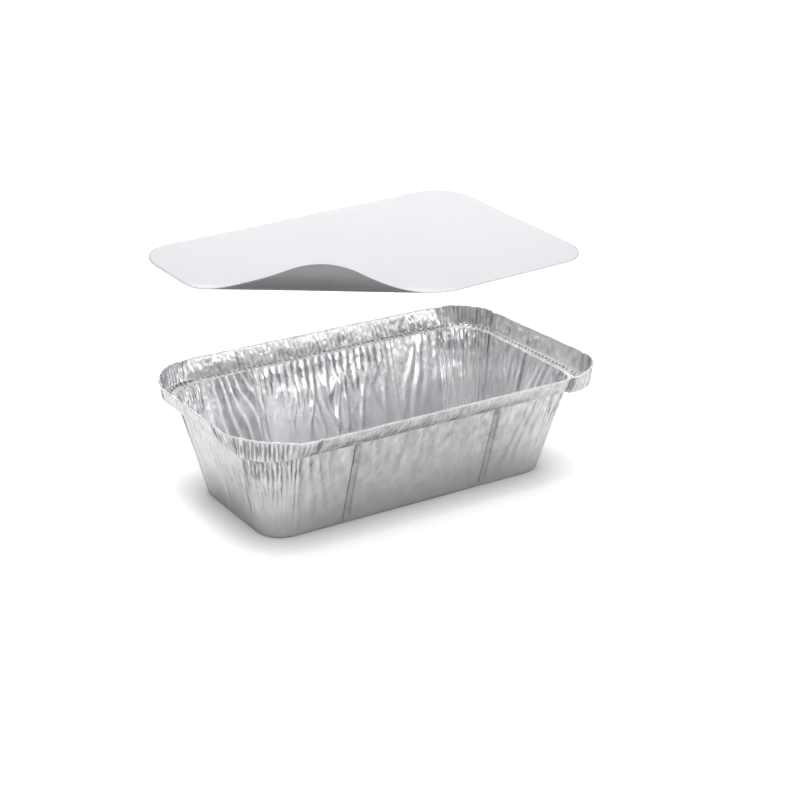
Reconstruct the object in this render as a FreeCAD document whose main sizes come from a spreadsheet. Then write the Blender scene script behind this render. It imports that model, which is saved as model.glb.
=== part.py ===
import FreeCAD, Part
import math
import os
import Sketcher
from FreeCAD import Placement, Rotation, Vector

# A foil loaf container and its laminated board lid.
# Millimetres, Z up. The origin is the centre of the container's underside, with X along
# its long sides. The lid hovers above the opening with its near left corner curled up.

os.makedirs("parts", exist_ok=True)
doc = FreeCAD.newDocument("foil_food_container")

# Driving sizes

SIZES = [
    ("opening_length", 200.0),
    ("opening_width", 113.2),
    ("opening_corner", 22.2),
    ("base_length", 174.8),
    ("base_width", 80.4),
    ("base_corner", 14.2),
    ("base_edge", 1.5),
    ("basin_height", 54.0),
    ("foil_gauge", 0.2),
    ("ledge_width", 5.4),
    ("ledge_corner", 21.5),
    ("bead_width", 1.3),
    ("bead_height", 0.8),
    ("bead_gap", 0.7),
    ("lip_height", 10.2),
    ("lip_flare_end", 3.2),
    ("lip_flare_side", 5.9),
    ("lip_corner", 36.0),
    ("lip_bow", 0.75),
    ("hem_width", 1.0),
    ("hem_height", 1.3),
    ("rib_offset", 43.0),
    ("rib_width", 4.4),
    ("rib_depth", 0.9),
    ("fold_count", 9),
    ("fold_depth", 1.4),
    ("crease_depth", 0.8),
    ("flute_pitch", 6.0),
    ("flute_depth", 1.1),
    ("gather_pitch", 4.0),
    ("gather_reach", 52.0),
    ("gather_depth", 0.8),
    ("lid_length", 209.0),
    ("lid_width", 122.0),
    ("lid_corner", 20.7),
    ("board_gauge", 0.45),
    ("curl_radius", 30.0),
    ("curl_distance", 44.4),
    ("curl_turn", 32.19),
    ("cut_length", 31.5),
    ("cut_width", 53.7),
    ("cut_round_side", 83.0),
    ("cut_round_near", 35.4),
    ("lid_left", -8.0),
    ("lid_front", -8.5),
    ("lid_height", 133.0),
    ("lid_yaw", 6.78),
    ("lid_pitch", 0.5),
    ("lid_roll", 5.42),
]

sheet = doc.addObject("Spreadsheet::Sheet", "sizes")
for row, (word, value) in enumerate(SIZES, start=1):
    sheet.set(f"A{row}", word)
    sheet.set(f"B{row}", str(value))
    sheet.setAlias(f"B{row}", word)
doc.recompute()


def size(word):
    return float(sheet.get(word))


# Plan outlines. A ring is a rounded rectangle at one height, given by its half length,
# half width and corner radius. Side 0 is the near long side, and the others follow
# anticlockwise. Corner n lies between side n and the next one.


def side_frame(ring, side):
    """Middle of a side, its outward normal, its direction of travel and half its straight run."""
    half_length, half_width, radius = ring[:3]
    turn = math.radians(90 * side - 90)
    normal = Vector(math.cos(turn), math.sin(turn), 0)
    along = Vector(-math.sin(turn), math.cos(turn), 0)
    reach, run = (half_length, half_width) if side % 2 else (half_width, half_length)
    return normal * reach, normal, along, run - radius


def side_point(ring, side, place):
    """Point of a side, with place measured from the side's middle, and the outward normal."""
    middle, normal, along, run = side_frame(ring, side)
    return middle + along * max(-run, min(run, place)), normal


def corner_point(ring, corner, share):
    """Point of a corner's arc, with share from 0 at its start to 1, and the outward normal."""
    middle, normal, along, run = side_frame(ring, corner)
    turn = math.radians(90 * share)
    outward = normal * math.cos(turn) + along * math.sin(turn)
    return middle + along * run + (outward - normal) * ring[2], outward


def grown(ring, offset):
    """The same ring moved outward by an offset."""
    return (ring[0] + offset, ring[1] + offset, ring[2] + offset)


def blend(first, last, share):
    """Ring part of the way from one ring to another."""
    return tuple(p + (q - p) * share for p, q in zip(first, last))


def smooth_outline(ring, height):
    """Closed wire of four lines and four arcs."""
    edges = []
    for side in range(4):
        start = corner_point(ring, side - 1, 1)[0]
        end = corner_point(ring, side, 0)[0]
        middle = corner_point(ring, side, 0.5)[0]
        after = corner_point(ring, side, 1)[0]
        edges.append(Part.makeLine(start, end))
        edges.append(Part.Arc(end, middle, after).toShape())
    wire = Part.Wire(edges)
    wire.translate(Vector(0, 0, height))
    return wire


def folded_outline(stations, ring, height, reliefs):
    """Closed polygon through every station, each moved along its normal by its relief."""
    points = []
    for place, kind, amount in stations:
        point, outward = place(ring)
        points.append(point + outward * (amount * reliefs.get(kind, 0)) + Vector(0, 0, height))
    return Part.makePolygon(points + points[:1])


def flat_ring(outer, inner):
    """Flat face between two closed wires at one height."""
    return Part.makeFace([outer, inner], "Part::FaceMakerBullseye")


def bands(wires):
    """Faces between each wire and the next, straight from one to the other."""
    faces = []
    for first, last in zip(wires, wires[1:]):
        level = abs(first.BoundBox.ZMin - last.BoundBox.ZMin) < 1e-6
        band = flat_ring(last, first) if level else Part.makeLoft([first, last], False, True)
        faces += band.Faces
    return faces


def uneven(step, seed):
    """Repeatable share between 0.55 and 1 that keeps like folds from looking alike."""
    return 0.775 + 0.225 * math.sin(2.4 * step + 1.7 * seed)


# Stations of the walls and of the lip. Each has its place on a ring, the kind of relief
# that moves it and how far.


def on_side(side, place):
    return lambda ring: side_point(ring, side, place)


def beside_corner(side, distance, end):
    """Place that keeps its distance from the end of the side's straight run."""
    return lambda ring: side_point(ring, side, end * (side_frame(ring, side)[3] - distance))


def on_corner(corner, share):
    return lambda ring: corner_point(ring, corner, share)


def corner_stations(corner, folds, depth):
    """Zigzag round a corner: crests on the outline, valleys pressed inward."""
    stations = []
    for step in range(2 * folds + 1):
        amount = -depth * uneven(step, corner) if step % 2 else 0.0
        stations.append((on_corner(corner, step / (2 * folds)), "fold", amount))
    return stations


def crease_stations(side, end):
    """Creases that run from beside a corner into the flat wall."""
    depth = size("crease_depth")
    distances = [5.0, 10.5, 16.5] if side % 2 == 0 else [5.0, 10.5]
    stations = []
    for step, distance in enumerate(distances):
        amount = depth * (-1) ** (step + 1) * uneven(step, side + end)
        stations.append((beside_corner(side, distance, end), "crease", amount))
    return stations if end < 0 else stations[::-1]


def rib_stations(side, middle):
    """Shallow channel pressed inward, upright in the wall."""
    foot = size("rib_width") / 2
    crest = foot - size("rib_depth")
    depth = size("rib_depth")
    shape = [(-foot, 0.0), (-crest, -depth), (crest, -depth), (foot, 0.0)]
    return [(on_side(side, middle + place), "rib", amount) for place, amount in shape]


def flute_stations(side):
    """Short upright flutes under the ledge, between the two ribs of a long side."""
    reach = size("rib_offset") - size("rib_width")
    count = max(2, int(2 * reach / size("flute_pitch")))
    depth = size("flute_depth") * (1.0 if side == 2 else 0.4)
    pitch = 2 * reach / count
    stations = []
    for step in range(2 * count + 1):
        kind = "long flute" if step % 4 == 1 else "flute"
        amount = -depth * uneven(step, side) if step % 2 else 0.0
        stations.append((on_side(side, -reach + step * pitch / 2), kind, amount))
    return stations


def gather_stations(side):
    """Small regular gathers in the lip of a long side."""
    reach = size("gather_reach")
    count = max(2, int(2 * reach / size("gather_pitch")))
    pitch = 2 * reach / count
    stations = []
    for step in range(2 * count + 1):
        amount = -size("gather_depth") * uneven(step, side) if step % 2 else 0.0
        stations.append((on_side(side, -reach + step * pitch / 2), "gather", amount))
    return stations


def wall_stations():
    stations = []
    for side in range(4):
        stations += crease_stations(side, -1)
        if side % 2:
            stations += rib_stations(side, 0.0)
        else:
            stations += rib_stations(side, -size("rib_offset"))
            stations += flute_stations(side)
            stations += rib_stations(side, size("rib_offset"))
        stations += crease_stations(side, 1)
        stations += corner_stations(side, int(size("fold_count")), size("fold_depth"))
    return stations


def lip_stations():
    stations = []
    for side in range(4):
        if side % 2 == 0:
            stations += gather_stations(side)
        stations += corner_stations(side, int(size("fold_count")) + 1, size("fold_depth") * 0.7)
    return stations


# The tray is one folded sheet: an outer and an inner skin that meet at the rolled edge.


def tray_shape():
    gauge = size("foil_gauge")
    height = size("basin_height")
    base = (size("base_length") / 2, size("base_width") / 2, size("base_corner"))
    opening = (size("opening_length") / 2, size("opening_width") / 2, size("opening_corner"))
    top = grown(opening, gauge)
    edge = size("base_edge")

    # share of the height, and how strongly each relief shows there
    levels = [
        (edge / height, {"fold": 0.15}),
        (0.26, {"fold": 0.45, "crease": 0.35, "rib": 1.0}),
        (0.66, {"fold": 0.8, "crease": 0.9, "rib": 1.0, "long flute": 0.35}),
        (0.82, {"fold": 0.95, "crease": 1.0, "rib": 1.0, "long flute": 0.9, "flute": 0.75}),
        (0.94, {"fold": 1.0, "crease": 0.9, "rib": 1.0, "long flute": 1.0, "flute": 1.0}),
    ]
    brim = {"fold": 1.0, "crease": 0.5, "rib": 0.6, "long flute": 0.3, "flute": 0.3}
    stations = wall_stations()
    foot = grown(base, -edge)
    outer = [folded_outline(stations, foot, 0, {})]
    inner = [folded_outline(stations, grown(foot, -gauge / 2), gauge, {})]
    for share, reliefs in levels:
        ring = blend(base, top, share)
        outer.append(folded_outline(stations, ring, share * height, reliefs))
        inner.append(folded_outline(stations, grown(ring, -gauge), share * height, reliefs))
    outer.append(folded_outline(stations, top, height - gauge, brim))
    inner.append(folded_outline(stations, opening, height, brim))

    # ledge with two rolled beads
    lip_foot = grown(opening, size("ledge_width"))[:2] + (size("ledge_corner"),)
    bead, gap = size("bead_width"), size("bead_gap")
    places = [gap, gap + bead / 2, gap + bead]
    places += [place + bead + gap for place in places]
    rises = [0, size("bead_height"), 0] * 2
    upper, under = [], []
    for place, rise in zip(places, rises):
        ring = blend(opening, lip_foot, place / size("ledge_width"))
        upper.append(smooth_outline(ring, height + rise))
        under.append(smooth_outline(ring, height + rise - gauge))

    # flared lip, closed at the top by its rolled hem
    lip_top = (
        lip_foot[0] + size("lip_flare_end"),
        lip_foot[1] + size("lip_flare_side"),
        size("lip_corner"),
    )
    top_height = height + size("lip_height")
    hem, drop = size("hem_width"), size("hem_height")
    folds = lip_stations()
    full = {"fold": 0.9, "gather": 0.35}
    half = {"fold": 1.0, "gather": 1.0}
    low = {"fold": 0.5, "gather": 0.2}
    middle = blend(lip_foot, lip_top, size("lip_bow"))
    profile = [
        (grown(lip_foot, -gauge), height, low),
        (grown(middle, -gauge), height + size("lip_height") / 2, half),
        (grown(lip_top, -gauge), top_height - drop / 4, full),
        (grown(lip_top, hem / 4 - gauge), top_height, full),
        (grown(lip_top, hem - gauge), top_height - drop / 6, full),
        (grown(lip_top, hem), top_height - drop * 0.75, full),
        (grown(lip_top, 0.02), top_height - drop, full),
        (middle, height + size("lip_height") / 2, half),
        (lip_foot, height - gauge, low),
    ]
    lip = [folded_outline(folds, *level) for level in profile]

    faces = [Part.Face(outer[0]), Part.Face(inner[0])]
    faces += bands(outer) + bands(inner) + bands(upper) + bands(under) + bands(lip)
    faces += [flat_ring(upper[0], inner[-1]), flat_ring(lip[0], upper[-1])]
    faces += [flat_ring(under[0], outer[-1]), flat_ring(lip[-1], under[-1])]
    skin = Part.makeCompound(faces)
    skin.sewShape(0.001)
    solid = Part.Solid(skin.Shells[0])
    if solid.Volume < 0:
        solid.reverse()
    return solid


tray = doc.addObject("Part::Feature", "tray")
tray.Shape = tray_shape()
tray.Label = "tray"
tray.Placement = Placement()

# The lid lies flat in its own frame, its upper face at zero height. The curl starts at a
# line across the near left corner: curl_turn is the line's angle to the long side and
# curl_distance how far it passes from the middle of the lid.

half_length, half_width = size("lid_length") / 2, size("lid_width") / 2
turn = math.radians(size("curl_turn"))
away = Vector(math.sin(turn), math.cos(turn), 0)
start_side = (half_length * away.x - size("curl_distance")) / away.y
start_near = (half_width * away.y - size("curl_distance")) / away.x

flat = doc.addObject("PartDesign::Body", "lid_sheet")
plane = next(item for item in flat.Origin.OriginFeatures if item.Role == "XY_Plane")
outline = flat.newObject("Sketcher::SketchObject", "lid_outline")
outline.AttachmentSupport = (plane, "")
outline.MapMode = "FlatFace"
radius = size("lid_corner")
corners = [
    Vector(-half_length, start_side, 0),
    Vector(-half_length, half_width, 0),
    Vector(half_length, half_width, 0),
    Vector(half_length, -half_width, 0),
    Vector(start_near, -half_width, 0),
]
first = len(corners)
for begin, end in zip(corners, corners[1:] + corners[:1]):
    outline.addGeometry(Part.LineSegment(begin, end), False)
for line in range(first):
    outline.addConstraint(Sketcher.Constraint("Coincident", line, 2, (line + 1) % first, 1))
outline.addConstraint(Sketcher.Constraint("Vertical", 0))
outline.addConstraint(Sketcher.Constraint("Horizontal", 1))
outline.addConstraint(Sketcher.Constraint("Vertical", 2))
outline.addConstraint(Sketcher.Constraint("Horizontal", 3))


def bind(constraint, expression):
    """Adds a sketch dimension and ties it to the sheet."""
    number = outline.addConstraint(constraint)
    outline.setExpression(f"Constraints[{number}]", expression)


side_rule = "(sizes.lid_length / 2 * sin(sizes.curl_turn) - sizes.curl_distance) / cos(sizes.curl_turn)"
near_rule = "(sizes.lid_width / 2 * cos(sizes.curl_turn) - sizes.curl_distance) / sin(sizes.curl_turn)"
bind(Sketcher.Constraint("DistanceX", 1, 1, -1, 1, half_length), "sizes.lid_length / 2")
bind(Sketcher.Constraint("DistanceY", -1, 1, 1, 1, half_width), "sizes.lid_width / 2")
bind(Sketcher.Constraint("DistanceX", -1, 1, 3, 1, half_length), "sizes.lid_length / 2")
bind(Sketcher.Constraint("DistanceY", 3, 1, -1, 1, half_width), "sizes.lid_width / 2")
bind(Sketcher.Constraint("DistanceY", -1, 1, 0, 1, start_side), side_rule)
bind(Sketcher.Constraint("DistanceX", -1, 1, 4, 1, start_near), near_rule)
doc.recompute()

slab = flat.newObject("PartDesign::Pad", "lid_slab")
slab.Profile = outline
slab.setExpression("Length", "sizes.board_gauge")
slab.Reversed = True
doc.recompute()

upright = []
for number, edge in enumerate(slab.Shape.Edges, start=1):
    low, high = edge.BoundBox.ZMin, edge.BoundBox.ZMax
    middle = edge.CenterOfMass
    rounded = middle.y > half_width - 0.1 or middle.x > half_length - 0.1
    if high - low > size("board_gauge") / 2 and rounded:
        upright.append(f"Edge{number}")
rounding = flat.newObject("PartDesign::Fillet", "lid_corners")
rounding.Base = (slab, upright)
rounding.setExpression("Radius", "sizes.lid_corner")
flat.Tip = rounding
doc.recompute()


def flap_outline():
    """Flat outline of the curled corner: a slanting cut with a rounding at either end."""
    side = Vector(-half_length, size("cut_width") - half_width, 0)
    near = Vector(size("cut_length") - half_length, -half_width, 0)
    slope = near - side
    reach = slope.Length
    slope.normalize()
    roundings = [
        (side, Vector(0, -1, 0), slope, size("cut_round_side"), start_side - side.y),
        (near, slope, Vector(1, 0, 0), size("cut_round_near"), start_near - near.x),
    ]
    points = [Vector(-half_length, start_side, 0)]
    for vertex, before, after, radius, room in roundings:
        half_bend = before.getAngle(after) / 2
        tangent = min(radius * math.tan(half_bend), room, 0.48 * reach)
        radius = tangent / math.tan(half_bend)
        inward = after - before
        inward.normalize()
        centre = vertex + inward * (radius / math.cos(half_bend))
        for step in range(25):
            swing = Rotation(Vector(0, 0, 1), math.degrees(half_bend) * (step / 12 - 1))
            points.append(centre - swing.multVec(inward) * radius)
    points.append(Vector(start_near, -half_width, 0))
    return points


def place_at(run, chain):
    """Place along the bend where a chain of (run, place) pairs reaches a run."""
    for (low, before), (high, after) in zip(chain, chain[1:]):
        if run <= high:
            return before + (after - before) * (run - low) / max(high - low, 1e-9)
    return chain[-1][1]


def curl_shape():
    """Curled corner: straight slices of the flap, each turned further round the bend."""
    bend, gauge, distance = size("curl_radius"), size("board_gauge"), size("curl_distance")
    line = Vector(math.cos(turn), -math.sin(turn), 0)
    centre = away * -distance + Vector(0, 0, bend - gauge)

    # run is how far a point lies past the bend's start
    chain = [(-point.dot(away) - distance, point.dot(line)) for point in flap_outline()]
    longest = max(run for run, _ in chain)
    peak = [run for run, _ in chain].index(longest)
    left_chain, right_chain = chain[: peak + 1], chain[peak:][::-1]
    count = 14
    slices = []
    for step in range(count + 1):
        run = longest * math.sin(math.pi / 2 * 0.97 * step / count)
        angle = run / bend
        radial = away * -math.sin(angle) + Vector(0, 0, -math.cos(angle))
        left, right = place_at(run, left_chain), place_at(run, right_chain)
        corners = []
        for radius, place in ((bend, left), (bend, right), (bend - gauge, right), (bend - gauge, left)):
            corners.append(centre + line * place + radial * radius)
        slices.append(Part.makePolygon(corners + corners[:1]))
    return Part.makeLoft(slices, True, True)


curl = doc.addObject("Part::Feature", "lid_curl")
curl.Shape = curl_shape()

lid = doc.addObject("Part::Fuse", "lid")
lid.Base = flat
lid.Tool = curl
lid.Label = "lid"
for axis, word in (("x", "lid_left"), ("y", "lid_front"), ("z", "lid_height")):
    lid.setExpression(f"Placement.Base.{axis}", f"sizes.{word}")
lid.Placement = Placement(
    Vector(size("lid_left"), size("lid_front"), size("lid_height")),
    Rotation(size("lid_yaw"), size("lid_pitch"), size("lid_roll")),
)
doc.recompute()

# Checks, then one file for each piece

for item in doc.Objects:
    if "Invalid" in item.State or "Error" in item.State:
        raise RuntimeError(f"{item.Name} is in state {item.State}")
for piece in (tray, lid):
    shape = piece.Shape
    if shape.isNull() or not shape.isValid() or len(shape.Solids) != 1:
        raise RuntimeError(f"{piece.Label} is not one valid solid")
    box = shape.BoundBox
    print(piece.Label, "faces", len(shape.Faces), "volume", round(shape.Volume, 1))
    print("  box", [round(v, 2) for v in (box.XMin, box.XMax, box.YMin, box.YMax, box.ZMin, box.ZMax)])
for piece in (tray, lid):
    piece.Shape.exportStep(f"parts/{piece.Label}.step")
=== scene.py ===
import math

import bmesh
import bpy
from mathutils import Matrix, Vector, noise


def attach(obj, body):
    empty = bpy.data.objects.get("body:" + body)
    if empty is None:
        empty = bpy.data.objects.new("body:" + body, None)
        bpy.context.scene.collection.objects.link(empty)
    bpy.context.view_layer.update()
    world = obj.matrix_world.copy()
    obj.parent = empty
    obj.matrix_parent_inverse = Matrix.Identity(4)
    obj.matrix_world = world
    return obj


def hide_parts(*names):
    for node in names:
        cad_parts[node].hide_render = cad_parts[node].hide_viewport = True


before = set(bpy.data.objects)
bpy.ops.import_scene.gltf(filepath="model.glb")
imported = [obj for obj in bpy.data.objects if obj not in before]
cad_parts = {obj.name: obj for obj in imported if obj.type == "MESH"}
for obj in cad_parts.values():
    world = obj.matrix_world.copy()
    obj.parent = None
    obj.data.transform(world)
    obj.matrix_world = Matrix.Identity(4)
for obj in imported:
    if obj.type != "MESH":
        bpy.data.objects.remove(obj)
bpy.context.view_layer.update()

bl_info = {
    "name": "Foil food container",
    "version": (1, 0, 0),
    "blender": (4, 5, 0),
    "location": "3D View > Sidebar > Foil container",
    "description": "Pressed foil food container with its board lid, on a plain stage",
    "category": "Add Mesh",
}

MM = 0.001


# Sizes and colours that a user would change


def length(name, description, value):
    """Length property, given in millimetres and kept in metres."""
    return bpy.props.FloatProperty(
        name=name, description=description, default=value * MM, min=0.0, precision=5, unit="LENGTH"
    )


def offset(name, description, value):
    """Length property that may be negative."""
    return bpy.props.FloatProperty(
        name=name, description=description, default=value * MM, precision=5, unit="LENGTH"
    )


def angle(name, description, value):
    """Angle property, given in degrees."""
    return bpy.props.FloatProperty(
        name=name, description=description, default=math.radians(value), unit="ROTATION"
    )


def colour(name, description, value):
    return bpy.props.FloatVectorProperty(
        name=name, description=description, default=value, size=4, min=0.0, max=1.0, subtype="COLOR"
    )


def share(name, description, value, most=1.0):
    return bpy.props.FloatProperty(
        name=name, description=description, default=value, min=0.0, max=most, subtype="FACTOR"
    )


class TraySizes(bpy.types.PropertyGroup):
    opening_length: length("Opening length", "Long side of the opening, inside the ledge", 200.0)
    opening_width: length("Opening width", "Short side of the opening, inside the ledge", 113.2)
    opening_corner: length("Opening corner", "Corner radius of the opening", 22.2)
    base_length: length("Base length", "Long side of the flat base", 174.8)
    base_width: length("Base width", "Short side of the flat base", 80.4)
    base_corner: length("Base corner", "Corner radius of the base", 14.2)
    base_edge: length("Base edge", "Rounding between the base and the walls", 1.5)
    basin_height: length("Basin height", "Height of the ledge above the table", 54.0)
    foil_gauge: length("Foil gauge", "Thickness of the foil", 0.12)
    ledge_width: length("Ledge width", "Width of the ledge that the lid rests on", 5.4)
    ledge_corner: length("Ledge corner", "Corner radius of the ledge's outer edge", 21.5)
    bead_width: length("Bead width", "Width of each bead pressed in the ledge", 1.3)
    bead_height: length("Bead height", "Height of each bead", 0.8)
    bead_gap: length("Bead gap", "Flat foil between the beads", 0.7)
    lip_height: length("Lip height", "Height of the lip above the ledge", 10.2)
    lip_flare_end: length("Flare at the ends", "Lean of the short sides' lips", 3.2)
    lip_flare_side: length("Flare at the sides", "Lean of the long sides' lips", 5.9)
    lip_corner: length("Lip corner", "Corner radius at the lip's top", 36.0)
    hem_width: length("Hem width", "Thickness of the rolled edge", 1.0)
    rib_offset: length("Rib offset", "Distance of the long sides' ribs from the middle", 43.0)
    rib_width: length("Rib width", "Width of a stiffening rib", 4.4)
    rib_depth: length("Rib depth", "Depth of a stiffening rib", 1.2)
    fold_count: bpy.props.IntProperty(
        name="Corner folds", description="Folds round each corner", default=13, min=3, max=24
    )
    fold_depth: length("Fold depth", "Depth of the corner folds", 1.4)
    crease_depth: length("Crease depth", "Depth of the creases beside the corners", 0.8)
    flute_pitch: length("Flute pitch", "Spacing of the flutes under the ledge", 6.0)
    flute_depth: length("Flute depth", "Depth of the flutes under the ledge", 1.1)
    gather_pitch: length("Gather pitch", "Spacing of the gathers in the lip", 4.0)
    gather_reach: length("Gather reach", "Half the length of the lip that is gathered", 52.0)
    gather_depth: length("Gather depth", "Depth of the gathers in the lip", 0.8)
    bulge: length("Corner bulge", "How far the near right corner of the rim is bent out", 4.0)
    crumple: share("Crumple", "Strength of the irregular crumpling", 1.0, 3.0)


class LidSizes(bpy.types.PropertyGroup):
    lid_length: length("Length", "Long side of the lid", 209.0)
    lid_width: length("Width", "Short side of the lid", 122.0)
    lid_corner: length("Corner", "Corner radius of the lid", 20.7)
    board_gauge: length("Board gauge", "Thickness of the laminated board", 0.45)
    curl_radius: length("Curl radius", "Bend radius of the curled corner", 30.0)
    curl_distance: length("Curl distance", "Distance of the curl's start from the middle", 44.4)
    curl_turn: angle("Curl turn", "Angle between the curl's start and the long side", 32.19)
    cut_length: length("Cut along the length", "Reach of the corner's cut on the long side", 31.5)
    cut_width: length("Cut along the width", "Reach of the corner's cut on the short side", 53.7)
    cut_round_side: length("Side rounding", "Rounding between the cut and the short side", 83.0)
    cut_round_near: length("Near rounding", "Rounding between the cut and the long side", 35.4)
    left: offset("Place along X", "Middle of the lid, along the container", -8.0)
    front: offset("Place along Y", "Middle of the lid, across the container", -8.5)
    height: offset("Height", "Height of the lid's middle above the table", 133.0)
    yaw: angle("Yaw", "Turn of the lid about the upright", 6.78)
    pitch: angle("Pitch", "Tilt of the lid along its length", 0.5)
    roll: angle("Roll", "Tilt of the lid across its width", 5.42)


class Finishes(bpy.types.PropertyGroup):
    foil: colour("Foil", "Colour of the bare foil", (0.86, 0.865, 0.875, 1.0))
    # colour painted on the foil where its folds, flanks and creases lie in shade
    foil_dark: colour("Foil in the creases", "Colour of creased foil", (0.30, 0.305, 0.315, 1.0))
    foil_roughness: share("Foil roughness", "Mean roughness of the foil", 0.22)
    board: colour("Board", "Colour of the lid's coated face", (0.60, 0.60, 0.63, 1.0))
    board_edge: colour("Board edge", "Colour of the lid's cut edge", (0.72, 0.72, 0.74, 1.0))
    lining: colour("Lining", "Colour of the foil on the lid's underside", (0.36, 0.36, 0.37, 1.0))


class StageSettings(bpy.types.PropertyGroup):
    azimuth: angle("Azimuth", "Camera's turn about the upright", -32.258)
    elevation: angle("Elevation", "Camera's height angle", 22.242)
    distance: length("Distance", "Camera's distance", 990.542)
    aim_right: offset("Aim to the right", "Sideways move of the camera", 13.827)
    aim_up: offset("Aim upward", "Upward move of the camera", 42.593)
    lens: bpy.props.FloatProperty(
        name="Lens", description="Focal length on a 36 mm sensor", default=80.66, unit="CAMERA"
    )
    floor: colour("Floor", "Colour of the floor", (0.93, 0.93, 0.93, 1.0))
    dome: share("Dome light", "Strength of the light from all round", 0.55, 5.0)
    burn: share("Burnt-out floor", "Extra brightness of the floor in the picture", 0.32, 1.0)
    backdrop: share("Backdrop", "Brightness of the white backdrop behind the container", 1.0, 3.0)


# Sides of the tray, anticlockwise, and those whose inner face the camera sees. Each corner
# has the number of the side before it.
NEAR, RIGHT, FAR, LEFT = range(4)
SEEN_INSIDE = (RIGHT, FAR)

# Mesh columns: spacing along the sides and along the far one, in millimetres, and steps round
# a corner
COLUMN_STEP = 1.0
FAR_COLUMN_STEP = 0.7
CORNER_STEPS = 96
# Up to here from a side's middle the columns stand upright, and past it they spread
UPRIGHT_SHORT = 8.0
UPRIGHT_LONG = 50.0

# Pressing of the foil: lengths in millimetres
RIB_FLANK = 0.9
CREASE_PITCH = 3.1
CORNER_GATHER = 1.4
NOTCH_WIDTH = 0.8
LIP_SET_BACK = 0.2
# Folds that the lip has round a corner beyond those of the wall
LIP_EXTRA_FOLDS = 2
# The far side's pitches as shares of the named ones
FAR_FLUTES = 0.75
FAR_GATHERS = 0.7
# Share of the lip's height where the rolled edge begins
HEM_START = 0.93


def clamp(value):
    return max(0.0, min(1.0, value))


def bell(away, width):
    """1 at no distance, falling off smoothly over a width."""
    return math.exp(-((away / width) ** 2))


def wave(x, y, seed):
    """Smooth repeatable noise from about -1 to 1."""
    return noise.noise(Vector((x, y, seed)))


def crinkle(x, y, seed):
    """Sharp ridged noise from 0 to about 1, like creased foil."""
    return 1.0 - min(1.0, abs(wave(x, y, seed)) * 2.2)


def graded(table, at):
    """Value of a table of (place, value) rows at a place, straight between its rows."""
    if at <= table[0][0]:
        return table[0][1]
    for (low, before), (high, after) in zip(table, table[1:]):
        if at <= high:
            return before + (after - before) * (at - low) / (high - low)
    return table[-1][1]


def near_rim(level):
    """Share that grows from 0 low on the wall to 1 at the rim."""
    return max(0.0, (level - 0.3) / 0.7)


def uneven(step, seed):
    """Repeatable uneven share for the folds."""
    return 0.6 + 0.25 * math.sin(2.4 * step + 1.7 * seed) + 0.15 * math.sin(5.3 * step + 2.9 * seed)


def zigzag(place, depth, seed):
    """Crests on even steps at zero, valleys on odd steps, with straight flanks."""
    step = math.floor(place)
    ends = [-depth * uneven(k, seed) if k % 2 else 0.0 for k in (step, step + 1)]
    return ends[0] + (ends[1] - ends[0]) * (place - step)


def stroke(place, width, inside):
    """1 in the folds that look dark: the valleys from outside, the crests from inside."""
    return max(0.0, 1 - abs((place + inside) % 2 - 1) / width)


def pleated(place, reach, pitch):
    """Place counted in half folds from the start of a pleated run, and the run's whole count."""
    count = max(2, int(2 * reach / pitch))
    return (place + reach) / (2 * reach) * 2 * count, 2 * count


# Plan outlines. A ring is a rounded rectangle: half length, half width, corner radius.


def side_frame(ring, side):
    """Reach, normal, travel direction and half straight run of one side."""
    turn = math.radians(90 * side - 90)
    normal = Vector((math.cos(turn), math.sin(turn), 0))
    along = Vector((-math.sin(turn), math.cos(turn), 0))
    reach, run = (ring[0], ring[1]) if side % 2 else (ring[1], ring[0])
    return normal * reach, normal, along, run - ring[2]


def half_run(ring, side):
    return side_frame(ring, side)[3]


def grown(ring, amount):
    return (ring[0] + amount, ring[1] + amount, ring[2] + amount)


def blend(first, last, part):
    return tuple(p + (q - p) * part for p, q in zip(first, last))


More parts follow.
